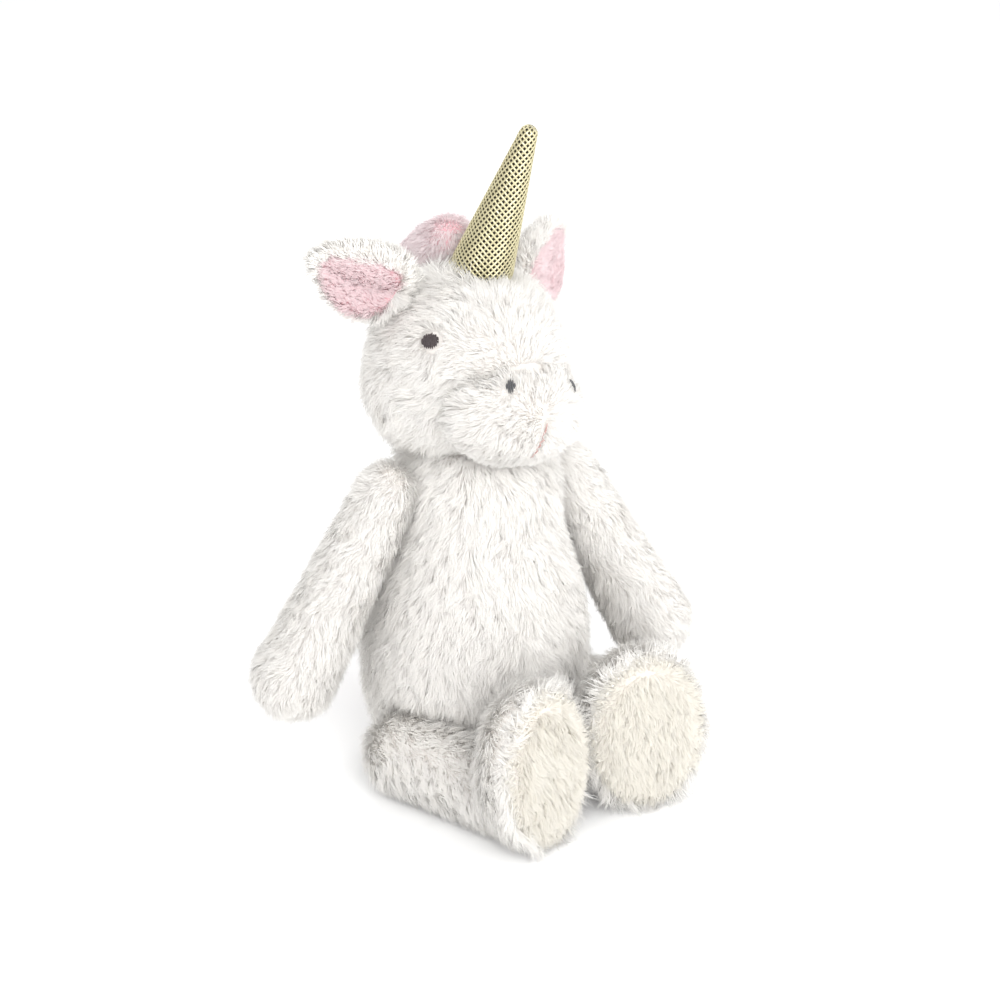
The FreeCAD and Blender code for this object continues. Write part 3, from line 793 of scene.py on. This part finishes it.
for side, name in SIDES:
    along = unit((cad_points("arm_cover_" + name) - shoulder[name]).mean(0))
    pile("arm_pile_" + name, skin["arm_skin_" + name], "arm_" + name, WHITE_PILE,
         nap_of(along), keep=lambda p, n: ~in_torso(p, 3 * MM), length=6.4, seed=51 + side)
    hip, middle, facing, upward = LEG[name]
    sideways = np.cross(facing, upward)

    def from_sole(p):
        """How far out in the sole's oval a point is, 1 at its edge, and how far behind it."""
        gap = p - middle
        return (np.hypot(gap @ sideways / SEAM_HALF_W, gap @ upward / SEAM_HALF_H),
                -gap @ facing)

    def rim(p):
        """1 where the foot's side meets the sole, 0 a little way back from it."""
        oval, behind = from_sole(p)
        return np.exp(-(behind / (6 * MM)) ** 2) * smooth((oval - 0.8) * 5)

    def leg_flow(p, n):
        """Down the leg and forward to the foot, standing out as a fringe round the sole."""
        edge = rim(p)[:, None]
        outward = unit(flat(p - middle, facing[None])) * 1.1 + facing * 0.5
        return (facing * 0.8 + np.array([0, 0, -0.5])) * (1 - edge) + outward * edge

    def leg_keep(p, n):
        """No pile under the sole pad or inside the body."""
        oval, behind = from_sole(p)
        return ~((oval < 0.97) & (behind < 4 * MM)) & ~in_torso(p, 3 * MM)

    pile("leg_pile_" + name, skin["leg_skin_" + name], "leg_" + name, WHITE_PILE,
         leg_flow, keep=leg_keep, trim=lambda p, n: 1 + 0.5 * rim(p),
         lift=lambda p, n: 1 + 0.5 * rim(p), seed=61 + side)

    # the sole pad: a crowned oval cushion, its edge drawn in by the seam
    turns = np.linspace(0, 2 * math.pi, SOLE_ROUND, endpoint=False)
    t, r = np.meshgrid(turns, np.linspace(0, 1, SOLE_RINGS))
    uneven = waves(np.stack([t.ravel(), r.ravel() * 6, np.zeros(r.size)], 1), 2.5, 70 + side)
    height = SOLE_CROWN * (1 - r**2.6) + 0.25 * MM * uneven.reshape(r.shape)
    front = (middle + facing * 0.2 * MM + (SOLE_HALF_W * r * np.cos(t))[..., None] * sideways
             + (SOLE_HALF_H * r * np.sin(t))[..., None] * upward + height[..., None] * facing)
    back = front[::-1] - facing * (height[::-1][..., None] + SOLE_THICK)
    verts = np.concatenate([front.reshape(-1, 3), back.reshape(-1, 3)])
    verts[:, 2] = np.maximum(verts[:, 2], SKIN_FLOOR)
    made = new_object("sole_pad_skin_" + name, verts, [grid_faces(2 * SOLE_RINGS, SOLE_ROUND)],
                      WHITE_SKIN)
    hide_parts("sole_pad_" + name)
    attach(made, "leg_" + name)
    pile("sole_pile_" + name, made, "leg_" + name, CREAM_PILE,
         lambda p, n: (np.array([0, 0, -0.6]) + unit(p - middle)
                       * smooth(from_sole(p)[0] * 4 - 3)[:, None]),
         keep=lambda p, n: n @ facing > -0.3, length=4.6, density=7.5, rise=0.75, clump=2.4,
         trim=lambda p, n: 1 - 0.3 * np.exp(-((from_sole(p)[0] - 0.9) / 0.06) ** 2),
         seed=75 + side)


# ---------------------------------------------------------------- ears


def leaf_half(level):
    """Half an ear's width at a share of its length: a leaf, widest a third of the way up."""
    return EAR_HALF_W * np.sin(math.pi * level**0.66) ** 0.6


for side, name in SIDES:
    root, _ = joint_place("ear_flop_" + name)
    points = np.concatenate([cad_points("ear_back_" + name), cad_points("ear_lining_" + name)])
    along = unit(points.mean(0) - root)
    face = unit(cad_points("ear_lining_" + name).mean(0) - cad_points("ear_back_" + name).mean(0))
    face = unit(flat(face[None], along[None])[0])
    wide = np.cross(along, face)
    wide = wide * (1 if wide[2] < 0 else -1)  # towards the lower edge
    turned_out = np.cross(wide, face) @ along > 0
    s, t = np.meshgrid(np.linspace(0, 1, EAR_ROWS),
                       np.linspace(0, 2 * math.pi, EAR_ROUND, endpoint=False), indexing="ij")
    half = leaf_half(np.clip(s, 0.004, 0.996))
    fold = 1.8 * MM * (1 - s)

    def ear_piece(title, scale, low, high, shift, droop):
        """A leaf: s runs from root to tip, t round it; front and back each bulge their own way.
        droop is how far its middle hangs towards the lower edge."""
        x = half * scale * np.cos(t)
        front = np.sin(t) > 0
        cup = 1 - 0.75 * (1 - np.cos(t) ** 2)
        y = np.where(front, high * np.sin(t) * cup - fold * np.exp(-(x / (2.5 * MM)) ** 2)
                     * np.sin(t), low * np.sin(t)) * (half / EAR_HALF_W) + shift
        z = EAR_FOOT + EAR_LENGTH * (0.5 + (s - 0.5) * scale)
        co = (root + (x + droop * np.sin(math.pi * s))[..., None] * wide + y[..., None] * face
              + z[..., None] * along)
        faces = grid_faces(EAR_ROWS, EAR_ROUND)
        return new_object(title, co.reshape(-1, 3), [faces if turned_out else faces[:, ::-1]])

    back = ear_piece("ear_back_skin_" + name, 1.0, 4.0 * MM, 1.5 * MM, 0, 0)
    lining = ear_piece("ear_lining_skin_" + name, 0.8, 0.8 * MM, 3.0 * MM, 1.2 * MM, 2.4 * MM)
    back.data.materials.append(WHITE_SKIN)
    lining.data.materials.append(PINK_SKIN)
    for made, node in ((back, "ear_back_" + name), (lining, "ear_lining_" + name)):
        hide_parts(node)
        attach(made, "ear_" + name)

    def in_lining(p, share):
        """Points over the lining, drawn in from the leaf's edge."""
        gap = p - root
        level = np.clip((gap @ along - EAR_FOOT) / EAR_LENGTH, 0.02, 0.98)
        off = gap @ wide - 2.0 * MM * np.sin(math.pi * level)
        return (np.abs(off) < leaf_half(level) * share) & (np.abs(level - 0.5) < 0.5 * share)

    def ear_flow(p, n):
        """Towards the tip, and out over the edge."""
        out = flat(p - root - along * EAR_LENGTH * 0.5, face[None])
        return along + unit(out) * 1.2 * smooth(np.linalg.norm(out, axis=1) / (14 * MM))[:, None]

    pile("ear_back_pile_" + name, back, "ear_" + name, WHITE_PILE, ear_flow,
         length=6.5, density=7.8, seed=81 + side,
         keep=lambda p, n: ~(in_lining(p, 0.72) & (n @ face > 0)))
    pile("ear_lining_pile_" + name, lining, "ear_" + name, PINK_PILE,
         nap_of(along), length=4.2, density=11.0, rise=0.6, clump=2.4, seed=85 + side,
         keep=lambda p, n: (n @ face > 0.0) & in_lining(p, 0.84))


# ---------------------------------------------------------------- horn

# the horn's outline, unrolled: a round tip, a straight cone and a hem that turns in
lean = math.asin((HORN_R - HORN_TIP_R) / HORN_LENGTH)
tip_run = HORN_TIP_R * (math.pi / 2 - lean)
cone_run = HORN_LENGTH * math.cos(lean)
hem_run = HORN_R * (lean + math.asin(HORN_HEM / HORN_R))
corner_gap = HORN_TIP_R * math.cos(lean) / math.sin(lean) - tip_run
span = corner_gap + tip_run + cone_run + hem_run
sector = 2 * math.pi * math.sin(lean)
horn_side = unit(np.cross(horn_up, forward))
horn_front = np.cross(horn_side, horn_up)
horn_front = horn_front * (1 if horn_front @ forward > 0 else -1)


def horn_surface(x, y, lift):
    """The flat net rolled up: distance from the sector's corner, less corner_gap, runs down the
    horn from the middle of its tip, and the angle round the sector runs round the horn. lift is
    how far outside the surface a point lies."""
    run = np.clip(np.hypot(x, y) - corner_gap, 0.02 * MM, tip_run + cone_run + hem_run)
    around = np.arctan2(x, y) / sector * 2 * math.pi
    on_tip = run < tip_run
    on_hem = run > tip_run + cone_run
    tip_angle = run / HORN_TIP_R
    down_cone = run - tip_run
    hem_angle = (run - tip_run - cone_run) / HORN_R - lean
    radius = np.where(on_tip, HORN_TIP_R * np.sin(tip_angle),
                      HORN_TIP_R * math.cos(lean) + down_cone * math.sin(lean))
    radius = np.where(on_hem, HORN_R * np.cos(hem_angle), radius) + lift
    height = np.where(on_tip, HORN_LENGTH + HORN_TIP_R * np.cos(tip_angle),
                      HORN_LENGTH + HORN_TIP_R * math.sin(lean) - down_cone * math.cos(lean))
    return (horn_root + (radius * np.sin(around))[..., None] * horn_side
            + (radius * np.cos(around))[..., None] * horn_front + height[..., None] * horn_up)


def laid(a, b):
    """Lattice steps a and b as places in the flat sector."""
    turn = math.radians(NET_TURN)
    return ((a * math.cos(turn) - b * math.sin(turn)) * NET_PITCH,
            (a * math.sin(turn) + b * math.cos(turn)) * NET_PITCH)


# one cell for each lattice square in the sector: its outline, the hole's edge and the hole's foot
most = int(span * 1.5 / NET_PITCH)
a, b = np.meshgrid(np.arange(-most, most + 1), np.arange(-most, most + 1), indexing="ij")
x, y = laid(a + 0.5, b + 0.5)
reach = np.hypot(x, y)
inside = (reach > corner_gap + 0.4 * MM) & (reach < span) & (np.abs(np.arctan2(x, y)) < sector / 2)
a, b = a[inside], b[inside]
bar = (1 - NET_HOLE) / 2
verts = []
for start, size, lift in ((0, 1, NET_CREST), (bar, NET_HOLE, 0), (bar, NET_HOLE, -NET_DEPTH)):
    for u, v in ((0, 0), (1, 0), (1, 1), (0, 1)):
        verts.append(horn_surface(*laid(a + start + u * size, b + start + v * size), lift))
verts = np.stack(verts, 1)
base = (np.arange(len(a)) * 12)[:, None]
quads = []
for k in range(4):
    after = (k + 1) % 4
    quads.append(base + np.array([[k, after, 4 + after, 4 + k]]))
    quads.append(base + np.array([[4 + k, 4 + after, 8 + after, 8 + k]]))
quads = np.concatenate(quads)
net = new_object("horn_net", verts.reshape(-1, 3), [quads[:, ::-1]], GOLD)
net.data.polygons.foreach_set("use_smooth", np.zeros(len(net.data.polygons), bool))
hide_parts("horn_sleeve")
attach(net, "horn")


# ---------------------------------------------------------------- embroidery


def satin(title, node, middle, centre, above, half_w, half_h, rows, material):
    """Satin stitch: rows of plump parallel threads over an oval on a ball round centre, each a
    little out of line with the next. The ball's surface is the distance above outside middle."""
    normal = unit(middle - centre)
    radius = np.linalg.norm(middle - centre) + above
    up = unit(flat(crown[None], normal[None])[0])
    across = np.cross(up, normal)
    rng = np.random.default_rng(7)
    place = np.linspace(-0.94, 0.94, rows)
    reach = np.sqrt(1 - place**2) + rng.uniform(-0.04, 0.1, rows)
    t = np.linspace(-1, 1, 9)
    slope = 0.35
    x = place[:, None] * half_w
    y = t * reach[:, None] * half_h
    flat_points = ((x * math.cos(slope) - y * math.sin(slope))[..., None] * across
                   + (x * math.sin(slope) + y * math.cos(slope))[..., None] * up)
    lift = radius + 0.75 * MM * (1 - 0.75 * t**4) + rng.uniform(-0.08, 0.08, (rows, 1)) * MM
    paths = centre + unit(normal * radius + flat_points) * lift[..., None]
    verts, faces = tubes(paths, half_w / rows * 1.35)
    made = new_object(title, verts, [faces], material)
    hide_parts(node)
    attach(made, "head")


for _, name in SIDES:
    satin("eye_thread_" + name, "eye_" + name, eye_mid[name], skull, EYE_LIFT, EYE_R, EYE_R, 9,
          CHARCOAL)
    satin("nostril_thread_" + name, "nostril_" + name, nostril_mid[name], muzzle_mid,
          NOSTRIL_LIFT, NOSTRIL_HALF_W, NOSTRIL_HALF_H, 5, GREY)

# the mouth's thread follows the heights of its stitches from the lowest to the highest
mouth = cad_points("mouth_stitches")
mouth = mouth[mouth[:, 2].argsort()]
heights = np.linspace(mouth[0, 2], mouth[-1, 2], 14)
line = np.stack([np.interp(heights, mouth[:, 2], mouth[:, k]) for k in range(3)], 1)
verts, faces = tubes(line[None], MOUTH_THREAD_R)
made = new_object("mouth_thread", verts, [faces], ROSE)
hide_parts("mouth_stitches")
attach(made, "head")


# ---------------------------------------------------------------- floor, light and camera

floor_paint = Paint("floor", Roughness=0.9)
floor_paint.feed(Base_Color=floor_paint.mix(floor_paint.noise(3.0), rgb(0.93, 0.93, 0.93),
                                            rgb(0.95, 0.95, 0.95)))
corners = np.array([[-1, -1, 0], [1, -1, 0], [1, 1, 0], [-1, 1, 0]]) * FLOOR_HALF
floor = new_object("floor", corners, [np.array([[0, 1, 2, 3]])], floor_paint.material)

world = bpy.data.worlds.new("studio")
world.use_nodes = True
world.node_tree.nodes["Background"].inputs[0].default_value = rgb(1.0, 1.0, 1.0)
world.node_tree.nodes["Background"].inputs[1].default_value = 1.0
scene.world = world


def softbox(name, place, size, power):
    """A square light aimed at the middle of the toy."""
    data = bpy.data.lights.new(name, "AREA")
    data.size = size
    data.energy = power
    lamp = bpy.data.objects.new(name, data)
    lamp.location = place
    aim = lamp.location.copy()
    aim.xyz = (0, 0, LIGHT_TARGET)
    lamp.rotation_euler = (aim - lamp.location).to_track_quat("-Z", "Y").to_euler()
    scene.collection.objects.link(lamp)


softbox("key", (-0.50, -1.0, 0.75), 0.8, 11.0)
softbox("fill", (0.75, -0.95, 0.3), 0.9, 4.2)
softbox("back", (0.3, 1.0, 0.9), 0.8, 4.0)

camera_data = bpy.data.cameras.new("camera")
camera_data.lens = 85
camera_data.sensor_width = 36
camera_data.shift_x = 0.026
camera_data.shift_y = -0.017
camera = bpy.data.objects.new("camera", camera_data)
away = np.array([math.sin(CAMERA_AZIMUTH) * math.cos(CAMERA_ELEVATION),
                 -math.cos(CAMERA_AZIMUTH) * math.cos(CAMERA_ELEVATION),
                 math.sin(CAMERA_ELEVATION)])
camera.location = np.array([0, 0, CAMERA_TARGET]) + away * CAMERA_DISTANCE
camera.rotation_euler = (math.pi / 2 - CAMERA_ELEVATION, 0, CAMERA_AZIMUTH)
scene.collection.objects.link(camera)
scene.camera = camera
scene.view_settings.view_transform = "Standard"
